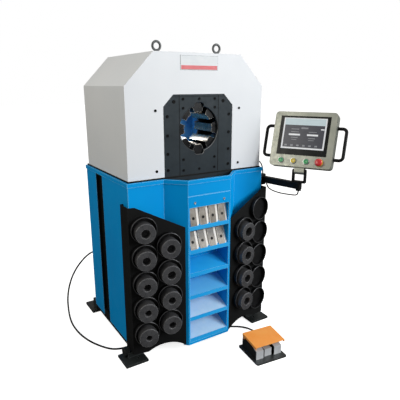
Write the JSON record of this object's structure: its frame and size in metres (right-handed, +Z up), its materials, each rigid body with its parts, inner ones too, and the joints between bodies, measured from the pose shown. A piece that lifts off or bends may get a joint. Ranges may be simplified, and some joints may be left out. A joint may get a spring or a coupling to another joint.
{
  "type": "hose crimping machine",
  "caption": "Floor-standing hydraulic hose crimping machine with an upright press head, a cabinet with die storage, a touch panel on an arm and a foot pedal.",
  "frame": {"origin": "on the floor, at the centre of the rectangle of the four anchor holes in the feet", "axes": "+Z up, the front with the crimping throat faces -Y, +X is the side with the touch panel"},
  "size_m": [1.2881, 1.1551, 1.6395],
  "materials": {
    "white_paint": "semi-gloss",
    "blue_paint": "semi-gloss",
    "black_paint": "satin",
    "shelf_paint": "satin",
    "dark_plate": "satin",
    "bright_steel": "satin",
    "machined_steel": "satin",
    "chrome": "polished",
    "pedal_aluminium": "satin",
    "treadle_paint": "semi-gloss",
    "case_plastic": "satin",
    "screen_glass": "gloss",
    "green_cap": "gloss",
    "yellow_cap": "gloss",
    "red_cap": "gloss",
    "black_plastic": "satin",
    "cord_sheath": "satin"
  },
  "bodies": {
    "machine": {"levelling_feet": "black_paint", "base_frame": "black_paint", "left_front_panel": "blue_paint", "left_rear_panel": "blue_paint", "right_front_panel": "blue_paint", "right_rear_panel": "blue_paint", "side_channels": "black_paint", "back_panel": "blue_paint", "front_panel": "blue_paint", "cabinet_rim": "blue_paint", "deck_plate": "black_paint", "shelf_box": "blue_paint", "die_shelves": "blue_paint", "shelf_die_blocks": "bright_steel", "left_rack_board": "black_paint", "right_rack_board": "black_paint", "left_die_holders": "black_paint", "right_die_holders": "black_paint", "left_die_sets": "machined_steel", "right_die_sets": "machined_steel", "head_housing": "white_paint", "guard_tunnel": "blue_paint", "centre_face_plate": "dark_plate", "side_face_plates": "dark_plate", "rear_guide_plate": "dark_plate", "press_frame": "black_paint", "upper_beam": "machined_steel", "top_die": "machined_steel", "lift_cylinder": "dark_plate", "oil_tank": "black_paint", "pump_motor": "shelf_paint", "lifting_eyes": "bright_steel", "arm_bracket": "black_paint", "pedal_base": "pedal_aluminium", "pedal_cord": "cord_sheath", "head_cord": "cord_sheath", "cord_glands": "black_plastic", "cover_screws": "black_paint"},
    "lower_beam": {"lower_beam": "machined_steel", "lift_piston": "chrome", "bottom_die": "machined_steel"},
    "left_wedge": {"left_wedge": "machined_steel", "left_die": "machined_steel"},
    "right_wedge": {"right_wedge": "machined_steel", "right_die": "machined_steel"},
    "upper_right_die": {"upper_right_die": "machined_steel"},
    "upper_left_die": {"upper_left_die": "machined_steel"},
    "lower_left_die": {"lower_left_die": "machined_steel"},
    "lower_right_die": {"lower_right_die": "machined_steel"},
    "panel_arm": {"panel_arm": "black_paint", "arm_cord": "cord_sheath"},
    "panel_yoke": {"panel_yoke": "black_paint"},
    "touch_panel": {"panel_case": "case_plastic", "touch_glass": "screen_glass", "panel_handles": "black_plastic"},
    "start_button": {"start_button": "green_cap"},
    "mode_button": {"mode_button": "yellow_cap"},
    "open_button": {"open_button": "green_cap"},
    "emergency_stop": {"emergency_stop": "red_cap"},
    "treadle": {"pedal_treadle": "treadle_paint"}
  },
  "joints": [
    {"name": "beam_lift", "type": "slide", "parent": "machine", "child": "lower_beam", "axis": [0, 0, 1], "range_m": [0, 0.064]},
    {"name": "left_wedge_slide", "type": "slide", "parent": "machine", "child": "left_wedge", "axis": [0.7071, 0, 0.7071], "range_m": [0, 0.04526]},
    {"name": "right_wedge_slide", "type": "slide", "parent": "machine", "child": "right_wedge", "axis": [-0.7071, 0, 0.7071], "range_m": [0, 0.04526]},
    {"name": "upper_right_die_slide", "type": "slide", "parent": "machine", "child": "upper_right_die", "axis": [-0.9239, 0, 0.3827], "range_m": [0, 0.0245]},
    {"name": "upper_left_die_slide", "type": "slide", "parent": "machine", "child": "upper_left_die", "axis": [0.9239, 0, 0.3827], "range_m": [0, 0.0245]},
    {"name": "lower_left_die_slide", "type": "slide", "parent": "machine", "child": "lower_left_die", "axis": [0.3827, 0, 0.9239], "range_m": [0, 0.05914]},
    {"name": "lower_right_die_slide", "type": "slide", "parent": "machine", "child": "lower_right_die", "axis": [-0.3827, 0, 0.9239], "range_m": [0, 0.05914]},
    {"name": "arm_swing", "type": "hinge", "parent": "machine", "child": "panel_arm", "pos_m": [0.455, -0.322, 0.891], "axis": [0, 0, 1], "range_deg": [-20, 95]},
    {"name": "panel_swivel", "type": "hinge", "parent": "panel_arm", "child": "panel_yoke", "pos_m": [0.50308, -0.56937, 0.909], "axis": [0, 0, 1], "range_deg": [-60, 60]},
    {"name": "panel_tilt", "type": "hinge", "parent": "panel_yoke", "child": "touch_panel", "pos_m": [0.50308, -0.56937, 0.9687], "axis": [0.4772, -0.8788, 0], "range_deg": [-15, 25]},
    {"name": "start_press", "type": "slide", "parent": "touch_panel", "child": "start_button", "axis": [0.8367, 0.4543, -0.3057], "range_m": [0, 0.004], "stiffness_N_per_m": 600, "springref_m": -0.002},
    {"name": "mode_press", "type": "slide", "parent": "touch_panel", "child": "mode_button", "axis": [0.8367, 0.4543, -0.3057], "range_m": [0, 0.004], "stiffness_N_per_m": 600, "springref_m": -0.002},
    {"name": "open_press", "type": "slide", "parent": "touch_panel", "child": "open_button", "axis": [0.8367, 0.4543, -0.3057], "range_m": [0, 0.004], "stiffness_N_per_m": 600, "springref_m": -0.002},
    {"name": "stop_press", "type": "slide", "parent": "touch_panel", "child": "emergency_stop", "axis": [0.8367, 0.4543, -0.3057], "range_m": [0, 0.006]},
    {"name": "treadle_press", "type": "hinge", "parent": "machine", "child": "treadle", "pos_m": [0.22166, -0.60332, 0.084], "axis": [0.9936, -0.1132, 0], "range_deg": [0, 10], "stiffness_Nm_per_rad": 12, "springref_deg": -28.65}
  ],
  "couplings": [
    {"joint": "left_wedge_slide", "follows": "beam_lift", "ratio": 0.70711},
    {"joint": "right_wedge_slide", "follows": "beam_lift", "ratio": 0.70711},
    {"joint": "upper_right_die_slide", "follows": "beam_lift", "ratio": 0.38268},
    {"joint": "upper_left_die_slide", "follows": "beam_lift", "ratio": 0.38268},
    {"joint": "lower_left_die_slide", "follows": "beam_lift", "ratio": 0.92388},
    {"joint": "lower_right_die_slide", "follows": "beam_lift", "ratio": 0.92388}
  ]
}
